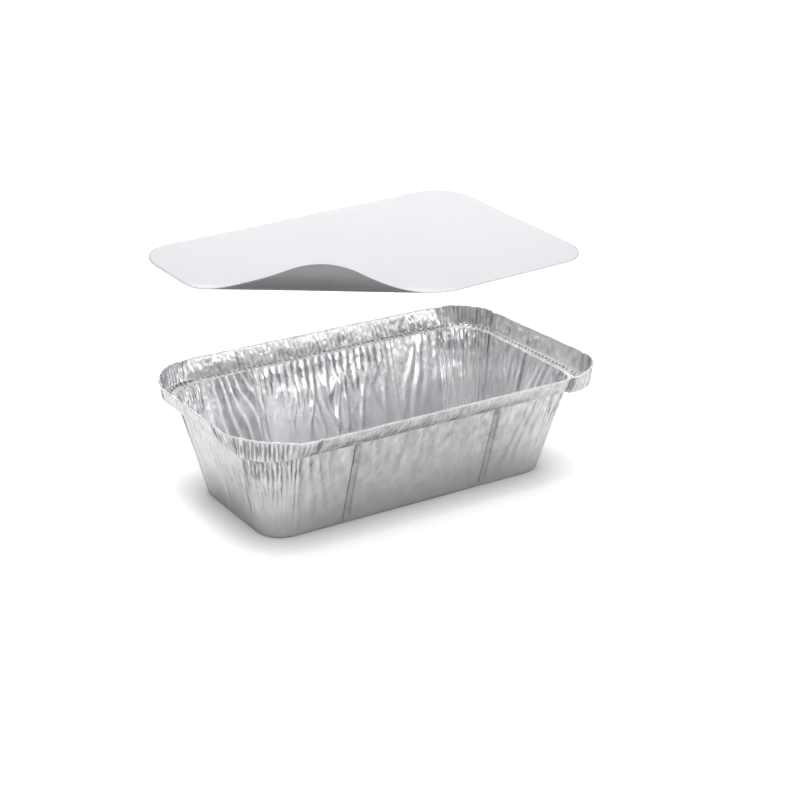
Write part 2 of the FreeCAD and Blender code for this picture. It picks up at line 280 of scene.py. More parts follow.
class Tray:
    """Form of the pressed foil, in millimetres, as a function of a column and a level."""

    def __init__(self, sizes):
        for name in sizes.__annotations__:
            value = getattr(sizes, name)
            setattr(self, name, value if name in ("fold_count", "crumple") else value / MM)
        self.base = (self.base_length / 2, self.base_width / 2, self.base_corner)
        self.opening = (self.opening_length / 2, self.opening_width / 2, self.opening_corner)
        foot = grown(self.opening, self.ledge_width)
        self.lip_foot = foot[:2] + (self.ledge_corner,)
        self.lip_top = (
            foot[0] + self.lip_flare_end,
            foot[1] + self.lip_flare_side,
            self.lip_corner,
        )
        # half folds round a corner of the wall and of the lip
        self.wall_folds = 2 * self.fold_count
        self.lip_folds = 2 * (self.fold_count + LIP_EXTRA_FOLDS)
        self.flute_reach = self.rib_offset - self.rib_width
        self.columns = self.make_columns()
        self.flares = {column: self.flare(column) for column in self.columns}

    def flare(self, column):
        """How far a column's lip leans out at the top, up to the lip's outline there."""
        foot, outward, _ = self.plan(column, self.lip_foot)
        core = Vector((self.lip_top[0] - self.lip_top[2], self.lip_top[1] - self.lip_top[2]))
        least, most = -2.0, 12.0
        for _ in range(20):
            middle = (least + most) / 2
            point = foot + outward * middle
            past = Vector((max(0.0, abs(point.x) - core.x), max(0.0, abs(point.y) - core.y)))
            if past.length < self.lip_top[2]:
                least = middle
            else:
                most = middle
        return least

    def ribs(self, side):
        """Places of a side's ribs."""
        return [0.0] if side % 2 else [-self.rib_offset, self.rib_offset]

    def make_columns(self):
        """Columns round the tray: (is corner, side or corner, place or share)."""
        columns = []
        foot = self.rib_width / 2
        edges = [foot + over for over in (0.5, 0.0, -0.45, -RIB_FLANK, -1.4)]
        for side in range(4):
            run, ribs = half_run(self.opening, side), self.ribs(side)
            spots = [rib + away for rib in ribs for edge in edges for away in (-edge, edge)]
            count = int(2 * run / (FAR_COLUMN_STEP if side == FAR else COLUMN_STEP))
            for step in range(count):
                place = -run + 2 * run * (step + 0.5) / count
                if all(abs(place - rib) > foot + RIB_FLANK for rib in ribs):
                    spots.append(place)
            columns += [(False, side, place) for place in sorted(spots)]
            columns += [(True, side, step / CORNER_STEPS) for step in range(CORNER_STEPS + 1)]
        return columns

    def plan(self, column, ring):
        """Plan point, outward normal and the place along the side that the column has there."""
        corner, side, place = column
        middle, normal, along, run = side_frame(ring, side)
        if corner:
            turn = math.radians(90 * place)
            outward = normal * math.cos(turn) + along * math.sin(turn)
            return middle + along * run + (outward - normal) * ring[2], outward, place
        hold = UPRIGHT_SHORT if side % 2 else UPRIGHT_LONG
        if abs(place) > hold:
            stretch = (run - hold) / (half_run(self.opening, side) - hold)
            place = math.copysign(hold + (abs(place) - hold) * stretch, place)
        return middle + along * place, normal, place

    def corner_folds(self, side, place, level):
        """Relief of the folds round a corner, which deepen towards the rim."""
        height = level * self.basin_height
        upper = near_rim(level)
        strength = graded(((0.0, 0.0), (0.03, 0.1), (0.26, 0.2), (0.66, 0.6), (0.94, 1.0)), level)
        at = place * self.wall_folds
        ends = min(1.0, at, self.wall_folds - at)
        wander = 0.5 * wave(height / 14, place * 4, side + 3.1)
        relief = zigzag(at + wander * ends, self.fold_depth * 0.8, side) * strength
        held = min(1.0, ends * 2)
        long = crinkle(place * 9 + side, height / 24, 5.0 + side)
        short = crinkle(place * 24, height / 8, 7.0 + side)
        relief -= self.crumple * (0.2 + 0.7 * upper) * long * long * held
        return relief - self.crumple * (0.1 + 0.5 * upper) * short * short * held

    def fan(self, side, distance, level):
        """Distance across the creases that fan out from a corner, and its count in half creases."""
        swing = 2.2 * wave(level * self.basin_height / 22, distance / 14, side + 13.0)
        across = distance / (1.5 - 0.75 * level)
        return across, (across + swing) / CREASE_PITCH

    def flute_place(self, side, place):
        """Place counted in half flutes, the whole count, and the level where the flute begins."""
        pitch = self.flute_pitch * (FAR_FLUTES if side == FAR else 1.0)
        at, count = pleated(place, self.flute_reach, pitch)
        return at, count, 0.9 - 0.42 * uneven(3 * math.floor(at / 2), side)

    def crumpling(self, side, place, distance, level, clear):
        """Irregular crumpling, stronger towards the rim and beside the corners."""
        height = level * self.basin_height
        upper = near_rim(level) * (0.45 if side == NEAR and distance > 30 else 1.0)
        beside = math.exp(-distance / 16) * (0.35 if side in (FAR, LEFT) else 1.0)
        long = crinkle(place / 4.6, height / 32, 11.0 + side)
        short = crinkle(place / 2.3, height / 14, 15.0 + side)
        relief = -(0.14 + 0.8 * beside) * upper * long * long * clear
        relief -= (0.08 + 0.35 * beside) * upper * near_rim(level) * short * short * clear
        dents = wave(place / 17, height / 15, 21.0 + side)
        fine = wave(place / 6, height / 8, 27.0 + side)
        held = clear * min(1.0, level * 6) * min(1.0, (1 - level) * 8)
        relief += (0.25 * dents + 0.07 * fine) * held
        if side == FAR:
            # this wall is pressed in hard folds between its ribs
            middle = graded(((0.1, 0.0), (0.3, 1.0), (0.72, 1.0), (0.85, 0.0)), level)
            tilt = height * 0.3
            hard = crinkle((place + tilt) / 7, height / 38, 31.0)
            again = crinkle((place - tilt) / 9, height / 34, 37.0)
            relief -= 1.3 * bell(place + 2, 26) * middle * (hard**3 + 0.7 * again**3) * clear
        return self.crumple * relief

    def wall_relief(self, column, place, run, level):
        """How far the foil stands off the plain wall at a share of the height."""
        corner, side, _ = column
        if corner:
            return self.corner_folds(side, place, level)
        calm = 0.4 if side == LEFT else 1.0
        relief, clear = 0.0, 1.0
        strength = graded(((0.0, 0.0), (0.04, 0.3), (0.1, 1.0), (0.94, 1.0), (1.0, 0.6)), level)
        for rib in self.ribs(side):
            away = abs(place - rib) - self.rib_width / 2
            relief -= self.rib_depth * calm * clamp(-away / RIB_FLANK) * strength
            clear = min(clear, max(0.0, away / 4))
        # creases fan out from the corner towards the rim
        distance = run - abs(place)
        across, at = self.fan(side, distance, level)
        strength = graded(((0.0, 0.0), (0.2, 0.35), (0.6, 0.9), (0.82, 1.0), (1.0, 0.5)), level)
        window = clamp(min(distance / 3, (30 - across) / 12)) * clear * calm
        relief += zigzag(at, self.crease_depth * 1.3, side) * strength * window
        if side in (NEAR, FAR) and abs(place) < self.flute_reach:
            at, count, low = self.flute_place(side, place)
            swing = 0.3 * wave(place / 11, level * self.basin_height / 9, side + 17.0)
            depth = self.flute_depth * (0.8 if side == FAR else 0.06)
            strength = graded(((low, 0.0), (low + 0.1, 0.9), (0.94, 1.0), (1.0, 0.3)), level)
            relief += zigzag(at + swing * min(1.0, at, count - at), depth, side) * strength
        return relief + self.crumpling(side, place, distance, level, clear)

    def wall_marks(self, column, place, level):
        """How strongly the relief is painted as shade on the foil, and the extra painted shade,
        which is painted light where negative.
        """
        corner, side, _ = column
        if corner:
            # dark strokes of painted shade along the corner folds, from each fold's own level up to
            # the rim
            at = place * self.wall_folds
            inside = side in SEEN_INSIDE
            fold = math.floor((at + inside) / 2)
            low = 0.95 - 0.5 * uneven(5 * fold, side + 2)
            line = stroke(at, 0.7, inside) * uneven(7 * fold, side)
            tone = 0.9 * line * graded(((low, 0.0), (low + 0.15, 1.0), (1.0, 0.8)), level)
            return graded(((0.0, 0.1), (0.4, 0.25), (0.75, 0.9)), level), tone
        weight = graded(((0.0, 0.3), (0.4, 0.5), (0.75, 1.0)), level)
        rib = bell(abs(abs(place) - self.rib_offset) - self.rib_width / 2 + 0.3, 0.7)
        # the near side is painted darker towards its middle and higher up, with dark lines at its
        # ribs' edges
        if side == NEAR:
            tone = graded(((40.0, 0.1 + 0.2 * level), (77.0, 0.0)), abs(place))
            return weight, tone + 0.4 * rib * min(1.0, level * 8)
        if side != FAR:
            return weight * (0.25 if side == LEFT else 1.0), 0.0
        # on the far side the ribs and fanned creases are painted light and the foil beside the
        # corners dark; between the ribs, dark strokes are painted along the flutes
        past = abs(place) - self.flute_reach
        if past > 0:
            distance = half_run(self.opening, side) - abs(column[2])
            edge = clamp(min(distance / 12, (place - self.flute_reach) / 3))
            line = stroke(self.fan(side, distance, level)[1], 0.4, False) * min(1.0, level * 2)
            return weight * (1 - 0.8 * rib), edge * (0.65 - 0.9 * line) - 0.7 * rib
        at, _, low = self.flute_place(side, place)
        high = graded(((low, 0.0), (low + 0.12, 1.0), (0.97, 0.9), (1.0, 0.3)), level)
        return weight, 1.3 * stroke(at, 0.55, True) * high + 0.12 * min(1.0, -past / 3)

    def basin_rows(self):
        """Section of the basin from the middle of the base to the ledge: (kind, share)."""
        rows = [("base", part) for part in (0.0, 0.25, 0.5, 0.72, 0.86, 0.95)]
        rows += [("edge", step / 4) for step in range(5)]
        start = self.base_edge / self.basin_height + 0.02
        for step in range(38):
            rows.append(("wall", start + (1 - start) * math.sin(math.pi / 2 * (step / 37) ** 0.85)))
        return rows

    def basin_point(self, column, row):
        """Point of the basin's inner face, its relief, the relief's weight and the painted shade.
        """
        kind, part = row
        if kind == "base":
            point, _, _ = self.plan(column, grown(self.base, -self.base_edge))
            return point * part + Vector((0, 0, self.foil_gauge)), 0.0, 1.0, 0.0
        if kind == "edge":
            turn, edge = math.radians(90 * part), self.base_edge
            ring = blend(self.base, self.opening, edge / self.basin_height)
            ring = grown(ring, -edge * (1 - math.sin(turn)))
            rise = self.foil_gauge + edge * (1 - math.cos(turn))
            level, fade, marked = 0.028 * part, part, 0.0
        else:
            ring = blend(self.base, self.opening, part)
            rise = part * self.basin_height
            level, fade, marked = part, 1.0, part
        point, outward, place = self.plan(column, ring)
        relief = self.wall_relief(column, place, half_run(ring, column[1]), level) * fade
        point += outward * relief + Vector((0, 0, rise))
        return point, relief, *self.wall_marks(column, place, marked)

    def past_corner(self, side, place):
        """How far a corner's gathers run on along a side, at the end nearer to a place."""
        return {(LEFT, True): 19.0, (NEAR, False): 13.0}.get((side, place > 0), 0.0)

    def notch(self, column, place):
        """1 at the step where the gathered lip ends and 0 away from it."""
        corner, side, _ = column
        if corner:
            arc = math.radians(90) * self.ledge_corner
            first = arc * place + self.past_corner(side, 1)
            last = arc * (1 - place) + self.past_corner((side + 1) % 4, -1)
            return bell(min(first, last), NOTCH_WIDTH)
        past = half_run(self.lip_foot, side) - abs(place)
        return bell(past - self.past_corner(side, place), NOTCH_WIDTH)

    def gather_place(self, place):
        """Place on the far side's lip, counted in half gathers."""
        return pleated(place, self.gather_reach, self.gather_pitch * FAR_GATHERS)[0]

    def lip_marks(self, column, place, level):
        """How strongly the relief is painted as shade on the lip, and the extra painted shade,
        which is painted light where negative.
        """
        corner, side, _ = column
        # painted shade at the step where the gathered lip ends
        tone = 0.6 * self.notch(column, place) * min(1.0, level * 3)
        past = half_run(self.lip_foot, side) - abs(place)
        if corner or past < self.past_corner(side, place):
            # dark strokes of painted shade along the gathers round the corners
            at = place * self.lip_folds if corner else past / CORNER_GATHER
            inside = side in SEEN_INSIDE
            line = stroke(at, 0.7, inside) * uneven(9 * math.floor((at + inside) / 2), side)
            return 1.3, tone + 0.55 * line * graded(((0.0, 1.0), (0.7, 0.8), (0.95, 0.0)), level)
        # the near lip is painted darker and the lips seen from inside are painted lighter
        if side == NEAR:
            tone += 0.18
        if side in SEEN_INSIDE:
            tone -= 0.2
        # dark strokes of painted shade along the far lip's gathers
        if side == FAR and abs(place) < self.gather_reach:
            at = self.gather_place(place)
            line = stroke(at, 0.6, True) * uneven(math.floor((at + 1) / 2), side)
            tone += 0.9 * line * graded(((0.0, 0.8), (0.5, 1.0), (0.75, 0.5), (0.9, 0.0)), level)
        return 1.0, tone

    def lip_relief(self, column, place, level):
        """How far the lip stands off its plain form, with level 0 at its foot and 1 at the hem."""
        corner, side, _ = column
        step = 1.3 * self.notch(column, place) * min(1.0, level * 3)
        depth = self.fold_depth * 0.75
        strength = graded(((0.0, 0.3), (0.25, 0.9), (0.6, 1.0), (1.0, 0.55)), level)
        if corner:
            at = place * self.lip_folds
            ends = min(1.0, at, self.lip_folds - at)
            wander = 0.3 * wave(level * 0.8, place * 9, side + 41.0)
            relief = zigzag(at + wander * ends, depth, side) * strength
            fine = crinkle(place * 21, level * 0.7, 45.0 + side)
            relief -= self.crumple * 0.5 * fine * fine * min(1.0, 2 * ends) * strength
            return relief - step
        past = half_run(self.lip_foot, side) - abs(place)
        reach = self.past_corner(side, place)
        relief = 0.0
        if past < reach:
            ends = min(1.0, past, reach - past)
            relief = zigzag(past / CORNER_GATHER, depth, side) * strength * ends
        elif side == FAR and abs(place) < self.gather_reach:
            strength = graded(((0.0, 0.3), (0.4, 1.0), (0.75, 0.7), (0.9, 0.2), (1.0, 0.1)), level)
            relief = zigzag(self.gather_place(place), self.gather_depth, side) * strength
        elif side != LEFT:
            low = graded(((0.0, 0.4), (0.3, 1.0), (0.6, 0.8), (0.8, 0.15), (1.0, 0.1)), level)
            ruck = crinkle(place / 2.0, level * 1.2, 47.0 + side)
            relief = -self.crumple * {NEAR: 0.21, RIGHT: 1.2, FAR: 0.7}[side] * low * ruck * ruck
        sway = wave(place / 9, level, 51.0 + side)
        return relief + self.crumple * (0.15 if side == NEAR else 0.35) * sway * level - step

    def bent_out(self, column):
        """Share of the bulge that a column takes, round the near right corner and past it."""
        corner, side, place = column
        if corner and side == NEAR:
            return math.sin(math.pi * (0.12 + 0.7 * place)) ** 0.7
        if not corner and side == RIGHT:
            start = math.sin(math.pi * 0.82) ** 0.7
            return start * clamp(1 - (place + 35) / 60)
        return 0.0

    def lip_rise(self, column):
        """Extra height of the lip: taller at the corners and lower along the sides."""
        corner, side, place = column
        if corner:
            swell = min(1.0, 5 * min(place, 1 - place))
            return 0.4 + 0.9 * swell + 0.35 * wave(place * 9, side * 3.0, 81.0)
        return 0.3 * wave(place / 13, side * 3.0, 83.0)

    def rim_rows(self):
        """Section of the ledge, lip and rolled edge: (kind, distance or share, bead's height)."""
        rows = [("ledge", 0.0, 0.0), ("ledge", 0.25, 0.0)]
        start = self.bead_gap
        for _ in range(2):
            for step in range(9):
                rise = self.bead_height * math.sin(math.pi * step / 8)
                rows.append(("ledge", start + self.bead_width * step / 8, rise))
            start += self.bead_width + self.bead_gap
        rows += [("ledge", self.ledge_width - back, 0.0) for back in (0.7, 0.25)]
        levels = (0.0, 0.02, 0.06, 0.12, 0.2, 0.28, 0.36, 0.44, 0.52, 0.6, 0.68, 0.76, 0.83, 0.89)
        rows += [("lip", level, 0.0) for level in levels]
        rows += [("hem", step / 8, 0.0) for step in range(9)]
        return rows

    def ledge_point(self, column, out, bead):
        """As rim_point, at a distance out from the opening and raised by a bead."""
        part = out / self.ledge_width
        ring = blend(self.opening, self.lip_foot, part)
        point, outward, place = self.plan(column, ring)
        relief = self.wall_relief(column, place, half_run(ring, column[1]), 1.0)
        relief *= max(0.0, 1 - out / self.bead_gap)
        late = max(0.0, (out - self.ledge_width + 0.9) / 0.9)
        relief += self.lip_relief(column, place, 0.0) * late
        relief += self.bulge * self.bent_out(column) * part**2
        ripple = wave(point.x / 4, point.y / 4, 61.0)
        dots = wave(point.x / 1.6, point.y / 1.6, 63.0)
        rise = bead + self.crumple * (0.1 * ripple + 0.12 * dots * (bead == 0))
        # a row of dots pressed between the beads is painted dark as their shade, and the rest of
        # the ledge is painted light
        along = place * (math.radians(90) * ring[2] if column[0] else 1.0)
        gap = bell(out - self.bead_gap * 1.5 - self.bead_width, 1.0)
        dark = 2.0 * stroke(along / (self.gather_pitch * 0.4), 0.9, True) * gap - 0.3
        height = self.basin_height + rise * min(1.0, out * 2)
        return point + outward * relief + Vector((0, 0, height)), 0.0, 1.0, dark

    def rim_point(self, column, row):
        """Point of the rim's upper face, its relief, the relief's weight and the painted shade."""
        kind, part, bead = row
        if kind == "ledge":
            return self.ledge_point(column, part, bead)
        level = part if kind == "lip" else HEM_START
        point, outward, place = self.plan(column, self.lip_foot)
        point += outward * self.flares[column] * (level + 0.5 * level * (1 - level))
        point += outward * self.bulge * self.bent_out(column) * (1 + 0.15 * level)
        relief = self.lip_relief(column, place, level)
        across = relief - LIP_SET_BACK
        height = self.basin_height + level * (self.lip_height + self.lip_rise(column))
        if kind == "lip":
            point += outward * across + Vector((0, 0, height))
            return point, relief, *self.lip_marks(column, place, level)
        # the edge is rolled outward and down
        turn = math.radians(180 - 265 * part)
        radius = self.hem_width / 2 * (1 + 0.16 * wave(point.x / 7, point.y / 7, 71.0))
        across += radius * (1 + math.cos(turn))
        height += radius * math.sin(turn) + 0.1
        # the rolled edge is painted light as its highlight
        return point + outward * across + Vector((0, 0, height)), relief * 0.4, 1.0, -0.25


def placed(name, data):
    """New object in the scene."""
    item = bpy.data.objects.new(name, data)
    bpy.context.collection.objects.link(item)
    return item


def column_mesh(name, columns, rows, shape):
    """Closed band: a grid whose columns go round the piece and whose rows follow its section.

    Its attribute "flank" is -1 on flanks that turn into the foil, 1 on those that turn out of it,
    "sunk" is how deep the foil is pressed in, both scaled by the relief's weight, and the third
    is extra painted shade, negative where light is painted; the materials paint shade and light
    from all three.
    """
    bm = bmesh.new()
    wide, tall = len(columns), len(rows) - 1
    bmesh.ops.create_grid(bm, x_segments=wide, y_segments=tall, size=0.5, calc_uvs=True)
    flank, sunk, tone = (bm.verts.layers.float.new(layer) for layer in ("flank", "sunk", "tone"))
    made = [[shape(column, row) for column in columns] for row in rows]
    for vert in bm.verts:
        x = round((vert.co.x + 0.5) * wide) % wide
        y = round((vert.co.y + 0.5) * tall)
        point, depth, weight, dark = made[y][x]
        before, after = made[y][x - 1], made[y][(x + 1) % wide]
        slope = (after[1] - before[1]) / max(0.2, (after[0] - before[0]).length)
        vert[flank] = max(-1.0, min(1.0, slope)) * weight
        vert[sunk] = clamp(-depth) * weight
        vert[tone] = dark
        vert.co = point * MM
    bmesh.ops.remove_doubles(bm, verts=bm.verts, dist=1e-7)
    for face in bm.faces:
        face.smooth = True
    bmesh.ops.recalc_face_normals(bm, faces=bm.faces)
    middle = min(bm.faces, key=lambda face: face.calc_center_median().xy.length)
    if middle.normal.z < 0:
        bmesh.ops.reverse_faces(bm, faces=bm.faces)
    mesh = bpy.data.meshes.new(name)
    bm.to_mesh(mesh)
    bm.free()
    return placed(name, mesh)


def thicken(piece, gauge, materials, edge=0):
    """Give a sheet its gauge below its face. Materials are for the face, the back and more."""
    sheet = piece.modifiers.new("gauge", "SOLIDIFY")
    sheet.thickness = gauge
    sheet.offset = -1.0
    sheet.material_offset = 1
    sheet.material_offset_rim = edge
    for material in materials:
        piece.data.materials.append(material)


# Finishes


def feed(tree, socket, value):
    """Link an input to another node's output, or give it a plain value."""
    if isinstance(value, bpy.types.NodeSocket):
        tree.links.new(value, socket)
    else:
        socket.default_value = value


def fill(tree, node, **values):
    """Give a node its settings and inputs by name."""
    for name, value in values.items():
        if name in node.inputs:
            feed(tree, node.inputs[name], value)
        else:
            setattr(node, name, value)
    return node


def add(tree, kind, **values):
    return fill(tree, tree.nodes.new(kind), **values)


def new_material(name):
    """Material, its node tree and its shader."""
    material = bpy.data.materials.new(name)
    material.use_nodes = True
    return material, material.node_tree, material.node_tree.nodes["Principled BSDF"]


def object_place(tree):
    return add(tree, "ShaderNodeTexCoord").outputs["Object"]


def attribute(tree, name):
    return add(tree, "ShaderNodeAttribute", attribute_name=name).outputs["Fac"]


def clouds(tree, where, scale, detail):
    """Noise texture."""
    return add(tree, "ShaderNodeTexNoise", Vector=where, Scale=scale, Detail=detail).outputs["Fac"]


def bumped(tree, height, strength, distance):
    bump = add(tree, "ShaderNodeBump", Height=height, Strength=strength, Distance=distance)
    return bump.outputs["Normal"]


def mapped(tree, value, before=(0.0, 1.0), after=(0.0, 1.0), **settings):
    """Value carried from one range to another."""
    limits = {"From Min": before[0], "From Max": before[1], "To Min": after[0], "To Max": after[1]}
    return add(tree, "ShaderNodeMapRange", Value=value, **limits, **settings).outputs["Result"]


def computed(tree, operation, *values, clamped=False):
    """Result of a calculation with sockets and plain numbers."""
    node = add(tree, "ShaderNodeMath", operation=operation, use_clamp=clamped)
    for socket, value in zip(node.inputs, values):
        feed(tree, socket, value)
    return node.outputs["Value"]


def colour_mix(tree, factor, *colours, kind="MIX"):
    """Mix of two colours, each plain or from a socket."""
    node = add(tree, "ShaderNodeMix", data_type="RGBA", blend_type=kind, Factor=factor)
    inputs = [socket for socket in node.inputs if socket.type == "RGBA"]
    for socket, value in zip(inputs, colours):
        feed(tree, socket, value)
    return next(socket for socket in node.outputs if socket.type == "RGBA")


def shaded(tree, colour, shade):
    """Plain colour times a changing shade."""
    return colour_mix(tree, 1.0, colour, shade, kind="MULTIPLY")


def crumple_group():
    """Shared height of fine foil creases, and a tint that follows it, from the object's own
    coordinates.
    """
    group = bpy.data.node_groups.new("foil crumple", "ShaderNodeTree")
    sockets = group.interface
    sockets.new_socket("Fine", in_out="INPUT", socket_type="NodeSocketFloat").default_value = 1.0
    for name in ("Height", "Grain"):
        sockets.new_socket(name, in_out="OUTPUT", socket_type="NodeSocketFloat")
    fine = add(group, "NodeGroupInput").outputs["Fine"]
    squash = add(group, "ShaderNodeMapping", Vector=object_place(group), Scale=(1.0, 1.0, 0.42))
    facets = clouds(group, squash.outputs["Vector"], 230.0, 1.0)
    grain = clouds(group, squash.outputs["Vector"], 700.0, 0.0)
    height = computed(group, "MULTIPLY_ADD", grain, 0.25, facets)
    centred = computed(group, "SUBTRACT", height, 0.62)
    add(
        group,
        "NodeGroupOutput",
        Height=computed(group, "MULTIPLY", height, fine),
        Grain=computed(group, "MULTIPLY", centred, fine),
    )
    return group


def foil_material(finishes, name, strength, inside, ticks=0.0):
    """Bright bare foil, creased and slightly uneven in polish.

    Shade is painted from the relief: outside, the foil pressed in is painted dark; inside, it is
    painted bright so that it stands out as a ridge.
    """
    material, tree, shader = new_material(name)
    where = object_place(tree)
    height = add(tree, "ShaderNodeSeparateXYZ", Vector=where).outputs["Z"]
    tone = attribute(tree, "tone")
    # painted shade on the flanks that turn into the foil, and a little painted shade over all inner
    # faces
    dark = mapped(tree, attribute(tree, "flank"), (0.1, -0.9), (0.2 if inside else 0.0, 0.9))
    sunk = attribute(tree, "sunk")
    # foil pressed in is painted darker outside and lighter inside
    dark = computed(tree, "MULTIPLY_ADD", sunk, -0.45 if inside else 0.3, dark)
    # extra painted shade, which paints light where it is negative
    dark = computed(tree, "ADD", dark, tone)
    # painted light: the inner walls are painted brighter towards the base
    low = mapped(tree, height, (0.0, 0.045), (-0.2 if inside else 0.0, 0.0))
    if ticks:
        # fine upright press marks along the long lips, painted as dark ticks of shade
        marks = add(
            tree, "ShaderNodeTexWave", Vector=where, Scale=140.0, Distortion=3.0, Detail=2.0
        )
        press = mapped(tree, marks.outputs["Fac"], (0.55, 0.95), (0.0, ticks))
        low = computed(tree, "ADD", low, press)
    dark = computed(tree, "ADD", dark, low, clamped=True)
    creases = add(
        tree,
        "ShaderNodeGroup",
        node_tree=bpy.data.node_groups.get("foil crumple") or crumple_group(),
        Fine=mapped(tree, height, (0.02, 0.05), (0.35, 1.3)),
    )
    # the colour darkens where the fine creases stand higher and lightens where they lie lower
    dark = computed(tree, "MULTIPLY_ADD", creases.outputs["Grain"], 0.9, dark, clamped=True)
    satin = finishes.foil_roughness + (0.06 if inside else 0.0)
    patches = clouds(tree, where, 60.0, 1.0)
    fill(
        tree,
        shader,
        **{
            "Base Color": colour_mix(tree, dark, finishes.foil, finishes.foil_dark),
            # the beads in the ledge are rolled matt
            "Metallic": mapped(tree, tone, (-0.3, -0.2), (0.15, 1.0)),
            "Roughness": mapped(tree, patches, after=(satin - 0.06, satin + 0.08)),
            "Normal": bumped(tree, creases.outputs["Height"], strength, 0.001),
        },
    )
    return material


def board_material(finishes):
    """Smooth coated white board with a faint fibre texture."""
    material, tree, shader = new_material("coated_board")
    where = object_place(tree)
    shade = mapped(tree, clouds(tree, where, 14.0, 2.0), after=(0.975, 1.0))
    fibre = clouds(tree, where, 1400.0, 1.0)
    fill(
        tree,
        shader,
        **{"Base Color": shaded(tree, finishes.board, shade)},
        Normal=bumped(tree, fibre, 0.12, 0.0001),
        Roughness=0.42,
    )
    return material


def edge_material(finishes):
    """Cut edge of the board."""
    material, tree, shader = new_material("board_edge")
    shade = mapped(tree, clouds(tree, object_place(tree), 900.0, 3.0), after=(0.85, 1.0))
    fill(tree, shader, **{"Base Color": shaded(tree, finishes.board_edge, shade)}, Roughness=0.7)
    return material


def lining_material(finishes):
    """Satin foil laminated on the lid's underside."""
    material, tree, shader = new_material("foil_lining")
    stretch = add(tree, "ShaderNodeMapping", Vector=object_place(tree), Scale=(0.06, 1.0, 1.0))
    rolled = clouds(tree, stretch.outputs["Vector"], 420.0, 3.0)
    # painted shade: the curl is painted in the darker colour, the flat underside in the foil's
    # colour
    curled = attribute(tree, "sunk")
    fill(
        tree,
        shader,
        **{"Base Color": colour_mix(tree, curled, finishes.foil, finishes.lining)},
        Metallic=1.0,
        Normal=bumped(tree, rolled, 0.08, 0.0001),
        Roughness=mapped(tree, rolled, after=(0.38, 0.52)),
    )
    return material


# Pieces


class FOIL_OT_basin(bpy.types.Operator):
    """Build the foil basin: base, tapered walls, ribs and wrinkled corners"""

    bl_idname = "foil_container.basin"
    bl_label = "Basin"

    def execute(self, context):
        scene = context.scene
        tray = Tray(scene.foil_tray)
        piece = column_mesh("foil_basin", tray.columns, tray.basin_rows(), tray.basin_point)
        materials = (
            foil_material(scene.foil_finishes, "foil_wall_inside", 0.55, True),
            foil_material(scene.foil_finishes, "foil_wall_outside", 0.8, False),
        )
        thicken(piece, scene.foil_tray.foil_gauge, materials)
        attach(piece, "root")
        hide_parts("tray")
        return {"FINISHED"}


class FOIL_OT_rim(bpy.types.Operator):
    """Build the ledge, the flared lip and its rolled edge"""

    bl_idname = "foil_container.rim"
    bl_label = "Rim"

    def execute(self, context):
        scene = context.scene
        tray = Tray(scene.foil_tray)
        piece = column_mesh("foil_rim", tray.columns, tray.rim_rows(), tray.rim_point)
        materials = (
            foil_material(scene.foil_finishes, "foil_rim_inside", 0.6, True),
            foil_material(scene.foil_finishes, "foil_rim_outside", 0.6, False, 0.2),
        )
        thicken(piece, scene.foil_tray.foil_gauge, materials)
        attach(piece, "root")
        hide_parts("tray")
        return {"FINISHED"}


class Lid:
    """Form of the lid's upper face, in metres."""

    def __init__(self, sizes):
        self.sizes = sizes
        self.away = Vector((math.sin(sizes.curl_turn), math.cos(sizes.curl_turn), 0))
        self.outline = self.make_outline()
        self.rows = [0.0] + [1 - (1 - step / 44) ** 1.25 for step in range(1, 45)]

    def make_outline(self):
        """Flat outline, anticlockwise, with a slanting cut at the curled corner."""
        sizes = self.sizes
        half = Vector((sizes.lid_length / 2, sizes.lid_width / 2, 0))
        corners = [
            (Vector((half.x, -half.y, 0)), sizes.lid_corner),
            (Vector((half.x, half.y, 0)), sizes.lid_corner),
            (Vector((-half.x, half.y, 0)), sizes.lid_corner),
            (Vector((-half.x, sizes.cut_width - half.y, 0)), sizes.cut_round_side),
            (Vector((sizes.cut_length - half.x, -half.y, 0)), sizes.cut_round_near),
        ]
        points = []
        for place, (corner, radius) in enumerate(corners):
            before = (corner - corners[place - 1][0]).normalized()
            after = (corners[(place + 1) % 5][0] - corner).normalized()
            half_bend = before.angle(after) / 2
            inward = (after - before).normalized()
            centre = corner + inward * (radius / math.cos(half_bend))
            for step in range(33):
                swing = Matrix.Rotation(half_bend * (step / 16 - 1), 3, "Z")
                points.append(centre - swing @ inward * radius)
        filled = []
        for point, after in zip(points, points[1:] + points[:1]):
            parts = max(1, round((after - point).length / 0.0025))
            filled += [point.lerp(after, step / parts) for step in range(parts)]
        return filled

    def wrapped(self, flat, run):
        """Flat point carried round the bend, where it lies a run past the bend's start."""
        if run <= 0:
            return flat
        inner = self.sizes.curl_radius - self.sizes.board_gauge
        around = run / self.sizes.curl_radius
        moved = flat + self.away * (run - inner * math.sin(around))
        moved.z = inner * (1 - math.cos(around))
        return moved

    def point(self, spot, row):
        """Point of the face in millimetres, its relief, the relief's weight and the painted shade.

        The relief falls from 0 to -1 over the start of the bend, and the lining is painted darker
        by it over the curl as its shade.
        """
        flat = spot * row
        run = -self.sizes.curl_distance - flat.dot(self.away)
        sag = wave(flat.x * 14, flat.y * 14, 3.0) * 0.00035 * row
        bent = self.wrapped(flat, run) + Vector((0, 0, sag))
        return bent / MM, -clamp(run / 0.012 + 0.6), 1.0, 0.0

    def pose(self):
        sizes = self.sizes
        turn = Matrix.Rotation(sizes.yaw, 4, "Z") @ Matrix.Rotation(sizes.pitch, 4, "Y")
        turn = turn @ Matrix.Rotation(sizes.roll, 4, "X")
        return Matrix.Translation((sizes.left, sizes.front, sizes.height)) @ turn


